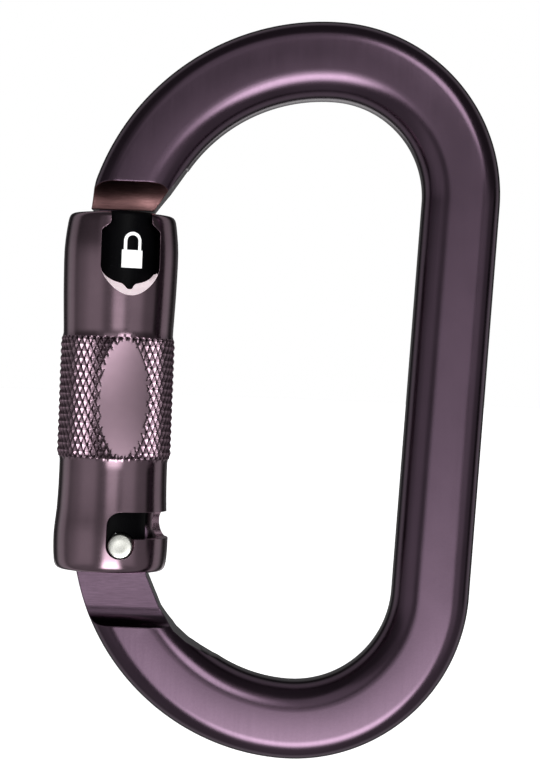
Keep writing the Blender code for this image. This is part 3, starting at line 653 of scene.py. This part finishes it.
class Nodes:
    """Short calls for building one material's nodes."""

    def __init__(self, name, colour, roughness, metallic):
        self.material = bpy.data.materials.new(name)
        self.material.use_nodes = True
        self.tree = self.material.node_tree
        self.shader = self.tree.nodes["Principled BSDF"]
        self.shader.inputs["Base Color"].default_value = (*colour, 1.0)
        self.shader.inputs["Roughness"].default_value = roughness
        self.shader.inputs["Metallic"].default_value = metallic
        coordinates = self.tree.nodes.new("ShaderNodeTexCoord")
        self.place = coordinates.outputs["Object"]

    def link(self, a, b):
        self.tree.links.new(a, b)

    def mapped(self, scale, centre=(0.0, 0.0, 0.0)):
        node = self.tree.nodes.new("ShaderNodeMapping")
        node.inputs["Scale"].default_value = scale
        node.inputs["Location"].default_value = [-c * s for c, s in zip(centre, scale)]
        self.link(self.place, node.inputs["Vector"])
        return node.outputs["Vector"]

    def noise(self, vector, scale, detail=3.0, roughness=0.55):
        node = self.tree.nodes.new("ShaderNodeTexNoise")
        node.inputs["Scale"].default_value = scale
        node.inputs["Detail"].default_value = detail
        node.inputs["Roughness"].default_value = roughness
        self.link(vector, node.inputs["Vector"])
        return node.outputs["Fac"]

    def grain(self, scale, detail=2.0, roughness=0.55):
        return self.noise(self.mapped((1, 1, 1)), scale, detail, roughness)

    def distance(self, vector):
        node = self.tree.nodes.new("ShaderNodeVectorMath")
        node.operation = "LENGTH"
        self.link(vector, node.inputs[0])
        return node.outputs["Value"]

    def spread(self, value, low, high, start=0.3, end=0.7):
        node = self.tree.nodes.new("ShaderNodeMapRange")
        node.inputs["From Min"].default_value = start
        node.inputs["From Max"].default_value = end
        node.inputs["To Min"].default_value = low
        node.inputs["To Max"].default_value = high
        self.link(value, node.inputs["Value"])
        return node.outputs["Result"]

    def math(self, operation, a, b):
        node = self.tree.nodes.new("ShaderNodeMath")
        node.operation = operation
        for socket, value in zip(node.inputs, (a, b)):
            if isinstance(value, (int, float)):
                socket.default_value = value
            else:
                self.link(value, socket)
        return node.outputs[0]

    def blend(self, a, a_share, b, b_share):
        return self.math("ADD", self.math("MULTIPLY", a, a_share), self.math("MULTIPLY", b, b_share))

    def roughen(self, value, low, high):
        self.link(self.spread(value, low, high), self.shader.inputs["Roughness"])

    def glow(self, colour, strength):
        self.shader.inputs["Emission Color"].default_value = (*colour, 1.0)
        self.shader.inputs["Emission Strength"].default_value = strength

    def tint(self, value, dark, light):
        node = self.tree.nodes.new("ShaderNodeMix")
        node.data_type = "RGBA"
        node.inputs[6].default_value = (*dark, 1.0)
        node.inputs[7].default_value = (*light, 1.0)
        self.link(value, node.inputs[0])
        self.link(node.outputs[2], self.shader.inputs["Base Color"])

    def bump(self, height, strength, distance, base=None):
        node = self.tree.nodes.new("ShaderNodeBump")
        node.inputs["Strength"].default_value = strength
        node.inputs["Distance"].default_value = distance
        self.link(height, node.inputs["Height"])
        if base:
            self.link(base, node.inputs["Normal"])
        self.link(node.outputs["Normal"], self.shader.inputs["Normal"])
        return node.outputs["Normal"]

    def round_edges(self, radius):
        node = self.tree.nodes.new("ShaderNodeBevel")
        node.samples = 6
        node.inputs["Radius"].default_value = radius
        return node.outputs["Normal"]


WHITE = (1.0, 1.0, 1.0)


def scaled(colour, factor):
    return tuple(min(1.0, c * factor) for c in colour)


def blasted(name, colour, roughness, edge):
    """Bead-blasted and anodised: fine grain, faint clouding and a few hairline scratches."""
    n = Nodes(name, colour, roughness, 1.0)
    cloud = n.grain(90, 3)
    grain = n.grain(5200)
    hairs = n.noise(n.mapped((2600, 2600, 90)), 1.0, 2)
    n.tint(n.spread(n.blend(cloud, 0.7, grain, 0.3), 0, 1), scaled(colour, 0.9), scaled(colour, 1.1))
    n.roughen(n.blend(hairs, 0.5, cloud, 0.5), roughness - 0.035, roughness + 0.045)
    n.bump(grain, 0.16, 0.02 * MM, n.round_edges(edge))
    return n.material


def turned_finish(name, colour, roughness, edge):
    """Turned on a lathe, then anodised: fine rings round the gate's axis with faint clouding."""
    n = Nodes(name, colour, roughness, 1.0)
    rings = n.noise(n.mapped((120, 120, 9000)), 1.0, 3, 0.6)
    cloud = n.grain(150, 3)
    grain = n.grain(4200)
    n.tint(n.spread(cloud, 0, 1), scaled(colour, 0.92), scaled(colour, 1.09))
    n.roughen(n.blend(rings, 0.6, grain, 0.4), roughness - 0.03, roughness + 0.05)
    n.bump(n.blend(rings, 0.7, grain, 0.5), 0.12, 0.02 * MM, n.round_edges(edge))
    return n.material


def milled_finish(name, colour, roughness, scale, edge, strength):
    """A face left by an end mill: fine parallel tool marks."""
    n = Nodes(name, colour, roughness, 1.0)
    marks = n.noise(n.mapped(scale), 1.0, 2, 0.6)
    grain = n.grain(3800)
    n.tint(n.spread(marks, 0, 1), scaled(colour, 0.82), scaled(colour, 1.15))
    n.roughen(grain, roughness - 0.05, roughness + 0.05)
    n.bump(marks, strength, 0.02 * MM, n.round_edges(edge))
    return n.material


def knurl_painted_light_finish(name, colour, roughness):
    """A knurl whose points are lightened as painted highlight and rubbed wear, and whose grooves are
    darkened as painted shade.
    """
    n = Nodes(name, colour, roughness, 1.0)
    radius = n.distance(n.mapped((1, 1, 0), tuple(GATE_ORIGIN)))
    wear = n.grain(900, 3)
    height = n.spread(radius, 0.0, 1.0, KNURL_RADIUS - 0.95 * KNURL_DEPTH, KNURL_RADIUS)
    shade = n.math("MULTIPLY", height, n.spread(wear, 0.75, 1.0))
    # Painted light: darker towards the grooves as painted shade, lighter towards the points as painted
    # highlight, scaled by the wear noise.
    n.tint(shade, scaled(colour, 0.22), scaled(colour, 2.1))
    n.roughen(wear, roughness - 0.05, roughness + 0.08)
    n.bump(wear, 0.12, 0.02 * MM)
    return n.material


def black_anodised(name):
    n = Nodes(name, (0.003, 0.003, 0.004), 0.36, 0.0)
    n.shader.inputs["Specular IOR Level"].default_value = 0.03
    grain = n.grain(5200)
    specks = n.grain(2600, 4, 0.75)
    n.tint(n.spread(specks, 0, 1, 0.62, 0.8), (0.0022, 0.0022, 0.0028), (0.016, 0.016, 0.018))
    n.roughen(grain, 0.3, 0.42)
    n.bump(grain, 0.12, 0.02 * MM)
    return n.material


def turned_steel(name, colour, roughness, axis_point):
    """Bright steel with fine rings about the pin's own axis."""
    n = Nodes(name, colour, roughness, 1.0)
    radius = n.distance(n.mapped((1, 0.02, 1), axis_point))
    grain = n.grain(3000)
    wave = n.tree.nodes.new("ShaderNodeTexNoise")
    wave.noise_dimensions = "1D"
    wave.inputs["Scale"].default_value = 16000
    wave.inputs["Detail"].default_value = 2
    n.link(radius, wave.inputs["W"])
    both = n.blend(wave.outputs["Fac"], 0.8, grain, 0.2)
    n.tint(n.spread(both, 0, 1), scaled(colour, 0.9), scaled(colour, 1.06))
    n.roughen(both, roughness - 0.05, roughness + 0.07)
    n.bump(both, 0.06, 0.01 * MM)
    return n.material


def drawn_steel(name, colour, roughness):
    n = Nodes(name, colour, roughness, 1.0)
    streaks = n.grain(2400, 4, 0.7)
    n.tint(n.spread(streaks, 0, 1), scaled(colour, 0.8), scaled(colour, 1.1))
    n.roughen(streaks, roughness - 0.05, roughness + 0.1)
    n.bump(streaks, 0.15, 0.02 * MM)
    return n.material


def moulded_plastic(name):
    n = Nodes(name, (0.03, 0.03, 0.032), 0.5, 0.0)
    grain = n.grain(3600, 3)
    n.tint(n.spread(grain, 0, 1), (0.022, 0.022, 0.024), (0.04, 0.04, 0.042))
    n.roughen(grain, 0.44, 0.58)
    n.bump(grain, 0.2, 0.02 * MM)
    return n.material


def white_ink(name):
    n = Nodes(name, (0.9, 0.9, 0.9), 0.5, 0.0)
    grain = n.grain(4000, 3)
    n.tint(n.spread(grain, 0, 1), (0.84, 0.84, 0.84), (0.95, 0.95, 0.95))
    n.roughen(grain, 0.45, 0.6)
    n.bump(grain, 0.1, 0.01 * MM)
    # The print glows faintly: painted light that makes it brighter than the lamps alone would.
    n.glow(WHITE, 0.35)
    return n.material


# ---------------------------------------------------------------- object

FRAME_PLUM = (0.08, 0.0525, 0.075)
SLEEVE_PLUM = (0.19, 0.13, 0.16)

frame_finish = blasted("frame_satin", FRAME_PLUM, 0.205, 0.3 * MM)
frame_milled = milled_finish("frame_milled", scaled(FRAME_PLUM, 1.2), 0.22, (400, 400, 6500), 0.3 * MM, 0.02)
nose_milled = milled_finish("nose_milled", (0.15, 0.078, 0.078), 0.42, (700, 700, 5200), 0.3 * MM, 0.25)
sleeve_finish = turned_finish("sleeve_turned", SLEEVE_PLUM, 0.17, 0.1 * MM)
slot_finish = milled_finish(
    "sleeve_slot_wall", scaled(SLEEVE_PLUM, 2.4), 0.28, (4200, 4200, 250), 0.1 * MM, 0.4,
)
chamfer_finish = milled_finish("sleeve_chamfer", (0.93, 0.78, 0.82), 0.42, (500, 500, 2500), 0.12 * MM, 0.05)
# A pale, half-metallic finish with a faint glow stands in for the strong light on the window's ramp.
chamfer_shader = chamfer_finish.node_tree.nodes["Principled BSDF"]
chamfer_shader.inputs["Metallic"].default_value = 0.3
chamfer_shader.inputs["Emission Color"].default_value = (1.0, 0.82, 0.87, 1.0)
chamfer_shader.inputs["Emission Strength"].default_value = 0.4
gate_finish = black_anodised("gate_black")
pin_finish = turned_steel("pin_bright", (0.44, 0.44, 0.41), 0.26, tuple(HINGE_ORIGIN))
spring_finish = drawn_steel("spring_wire", (0.5, 0.5, 0.52), 0.32)
ring_finish = drawn_steel("seat_ring_steel", (0.42, 0.42, 0.44), 0.36)
plastic_finish = moulded_plastic("thrust_ring_plastic")
ink_finish = white_ink("white_print")

forging = build_frame(frame_finish, frame_milled, nose_milled)
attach(forging, "frame_body")
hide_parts("frame")

pin = build_pin(pin_finish)
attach(pin, "frame_body")
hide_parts("gate_hinge_pin")

arm = build_gate(gate_finish)
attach(arm, "gate_body")
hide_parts("gate")
for patch in build_padlock(ink_finish):
    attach(patch, "gate_body")

knurl_painted_light = knurl_painted_light_finish("sleeve_knurl", SLEEVE_PLUM, 0.2)
thumb_finish = turned_finish("sleeve_thumb", scaled(SLEEVE_PLUM, 1.12), 0.34, 0.1 * MM)
sleeve = build_sleeve(sleeve_finish, slot_finish, chamfer_finish, knurl_painted_light, thumb_finish)
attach(sleeve, "sleeve_body")
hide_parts("locking_sleeve")


def build_coil(name, node):
    """A coil in the CAD coil's shape, carried with the gate."""
    coil = bpy.data.objects.new(name, frame["nodes"][node].data.copy())
    bpy.context.scene.collection.objects.link(coil)
    coil.data.materials.clear()
    coil.data.materials.append(spring_finish)
    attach(coil, "gate_body")
    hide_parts(node)
    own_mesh(coil)


build_coil("sleeve_coil", "sleeve_spring")
build_coil("gate_coil", "gate_return_spring")

KEPT = {
    "gate_plunger": spring_finish,
    "spring_seat_ring": ring_finish,
    "sleeve_thrust_ring": plastic_finish,
}
for name, finish in KEPT.items():
    node = frame["nodes"][name]
    for material_slot in node.material_slots:
        material_slot.material = finish


# ---------------------------------------------------------------- floor, light and camera

FLOOR_DROP = 60 * MM
FLOOR_RINGS, FLOOR_SIDES = 9, 48
FLOOR_INNER, FLOOR_GROWTH = 50 * MM, 2.2


def build_floor():
    """A wide white disc below the part. It isn't seen in the part's reflections."""
    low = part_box("frame")[0].z - FLOOR_DROP
    builder = bmesh.new()
    angles = [math.tau * k / FLOOR_SIDES for k in range(FLOOR_SIDES)]
    rings = []
    for i in range(FLOOR_RINGS):
        reach = FLOOR_INNER * FLOOR_GROWTH ** i
        rings.append([builder.verts.new((reach * math.cos(a), reach * math.sin(a), low)) for a in angles])
    builder.faces.new(rings[0])
    for a, b in zip(rings, rings[1:]):
        for i in range(FLOOR_SIDES):
            j = (i + 1) % FLOOR_SIDES
            builder.faces.new((a[i], a[j], b[j], b[i]))
    n = Nodes("floor_paper", (0.95, 0.95, 0.95), 0.9, 0.0)
    grain = n.grain(900, 3)
    n.tint(n.spread(grain, 0, 1), (0.93, 0.93, 0.93), (0.96, 0.96, 0.96))
    n.bump(grain, 0.05, 0.05 * MM)
    n.glow(WHITE, 0.95)
    floor = make_piece("floor", builder, (0, 0, 0), n.material)
    floor.visible_glossy = False


def build_world():
    """White to the camera. Everything else is lit by a studio, drawn by direction.

    x is to the right, y to the back and z up. Limits are parts of the unit direction, and levels are
    strengths of light.
    """
    world = bpy.data.worlds.new("studio")
    bpy.context.scene.world = world
    world.use_nodes = True
    tree = world.node_tree
    tree.nodes.clear()
    make = tree.nodes.new
    link = tree.links.new
    coordinates = make("ShaderNodeTexCoord")
    parts = make("ShaderNodeSeparateXYZ")
    link(coordinates.outputs["Generated"], parts.inputs[0])

    def step(value, start, end, low, high):
        """A soft step from one level to another between two limits."""
        node = make("ShaderNodeMapRange")
        node.interpolation_type = "SMOOTHSTEP"
        node.inputs["From Min"].default_value = start
        node.inputs["From Max"].default_value = end
        node.inputs["To Min"].default_value = low
        node.inputs["To Max"].default_value = high
        link(value, node.inputs["Value"])
        return node.outputs["Result"]

    def join(operation, a, b):
        node = make("ShaderNodeMath")
        node.operation = operation
        for socket, value in zip(node.inputs, (a, b)):
            if isinstance(value, (int, float)):
                socket.default_value = value
            else:
                link(value, socket)
        return node.outputs[0]

    def times(a, b):
        return join("MULTIPLY", a, b)

    def plus(a, b):
        return join("ADD", a, b)

    def band(value, centre, half, soft, height):
        """A soft-edged band of light."""
        rise = step(value, centre - half - soft, centre - half, 0.0, height)
        fall = step(value, centre + half, centre + half + soft, 1.0, 0.0)
        return times(rise, fall)

    x, y, z = parts.outputs[0], parts.outputs[1], parts.outputs[2]

    # In front: a strong low panel, a small one up to the right and a wide dim one above.
    low_light = plus(step(z, -0.19, -0.05, 3.6, 0.0), step(z, -0.4, -0.24, 7.2, 0.0))
    low_light = times(low_light, step(z, -0.8, -0.5, 0.06, 1.0))
    low_light = times(low_light, band(x, 0.1, 0.18, 0.17, 1.0))
    upper_right = times(band(x, 0.32, 0.13, 0.1, 5.5), band(z, 0.38, 0.1, 0.1, 1.0))
    overhead = times(band(x, 0.0, 0.3, 0.2, 0.6), band(z, 0.47, 0.17, 0.15, 1.0))
    panels = times(plus(low_light, plus(upper_right, overhead)), step(y, -0.75, -0.4, 1.0, 0.0))

    # Upright strips that draw the sleeve's bright lines, held near eye level.
    level = times(step(z, 0.07, 0.17, 1.0, 0.2), step(join("ABSOLUTE", z, 0.0), 0.22, 0.55, 1.0, 0.1))
    strips = plus(band(x, 0.05, 0.09, 0.2, 1.0), band(x, 0.6, 0.1, 0.18, 0.45))
    strips = plus(strips, band(x, -0.72, 0.1, 0.25, 0.4))
    strips = times(times(strips, level), step(y, -0.1, 0.1, 1.0, 0.0))

    # To the sides and behind: a grazing band for the edges, and a low light for the views of the back.
    behind = times(step(y, 0.12, 0.3, 0.0, 0.42), step(y, 0.5, 0.72, 1.0, 0.0))
    behind = plus(behind, times(step(y, 0.82, 0.92, 0.0, 1.0), step(z, -0.22, -0.1, 0.9, 0.1)))

    # The room: dim, brighter below, with dark ends to the right and behind.
    base = times(step(z, 0.02, 0.2, 0.34, 0.1), step(y, -0.2, 0.3, 1.0, 0.75))
    base = times(base, step(x, 0.975, 0.995, 1.0, 0.05))
    base = times(base, step(y, 0.5, 0.78, 1.0, 0.12))

    studio = make("ShaderNodeBackground")
    link(plus(plus(panels, strips), plus(behind, base)), studio.inputs["Strength"])
    plain = make("ShaderNodeBackground")
    for background in (studio, plain):
        background.inputs["Color"].default_value = (*WHITE, 1.0)
    path = make("ShaderNodeLightPath")
    mix = make("ShaderNodeMixShader")
    output = make("ShaderNodeOutputWorld")
    link(path.outputs["Is Camera Ray"], mix.inputs[0])
    link(studio.outputs[0], mix.inputs[1])
    link(plain.outputs[0], mix.inputs[2])
    link(mix.outputs[0], output.inputs["Surface"])


def area_light(name, place, target, width, height, power):
    data = bpy.data.lights.new(name, "AREA")
    data.shape = "RECTANGLE"
    data.size, data.size_y = width, height
    data.energy = power
    light = bpy.data.objects.new(name, data)
    bpy.context.scene.collection.objects.link(light)
    light.location = place
    light.rotation_euler = (Vector(target) - Vector(place)).to_track_quat("-Z", "Y").to_euler()


CAMERA_DISTANCE = 306 * MM
CAMERA_LENS, CAMERA_SENSOR = 93.3, 36.0
CAMERA_ROLL = math.radians(2.2)
# How far the camera stands to the left of the part's middle, and below it.
CAMERA_LEFT, CAMERA_BELOW = 0.765 * MM, 0.342 * MM


def build_camera():
    """Square to the front face, a hair left of and below its middle, with the gate leaning 2.2 degrees."""
    data = bpy.data.cameras.new("camera")
    data.lens = CAMERA_LENS
    data.sensor_width = CAMERA_SENSOR
    data.clip_start = 10 * MM
    camera = bpy.data.objects.new("camera", data)
    bpy.context.scene.collection.objects.link(camera)
    middle = (CAD_BOX[0] + CAD_BOX[1]) / 2
    camera.location = (middle.x - CAMERA_LEFT, -CAMERA_DISTANCE, middle.z - CAMERA_BELOW)
    camera.rotation_euler = (math.radians(90), -CAMERA_ROLL, 0)
    bpy.context.scene.camera = camera


build_floor()
build_world()
# A soft key from the upper left: place and target in metres, then width, height and watts.
area_light("key_panel", (-0.3, -0.6, 0.25), (0.0, 0.0, -0.04), 0.5, 0.5, 0.1)
build_camera()
bpy.context.scene.view_settings.view_transform = "Standard"
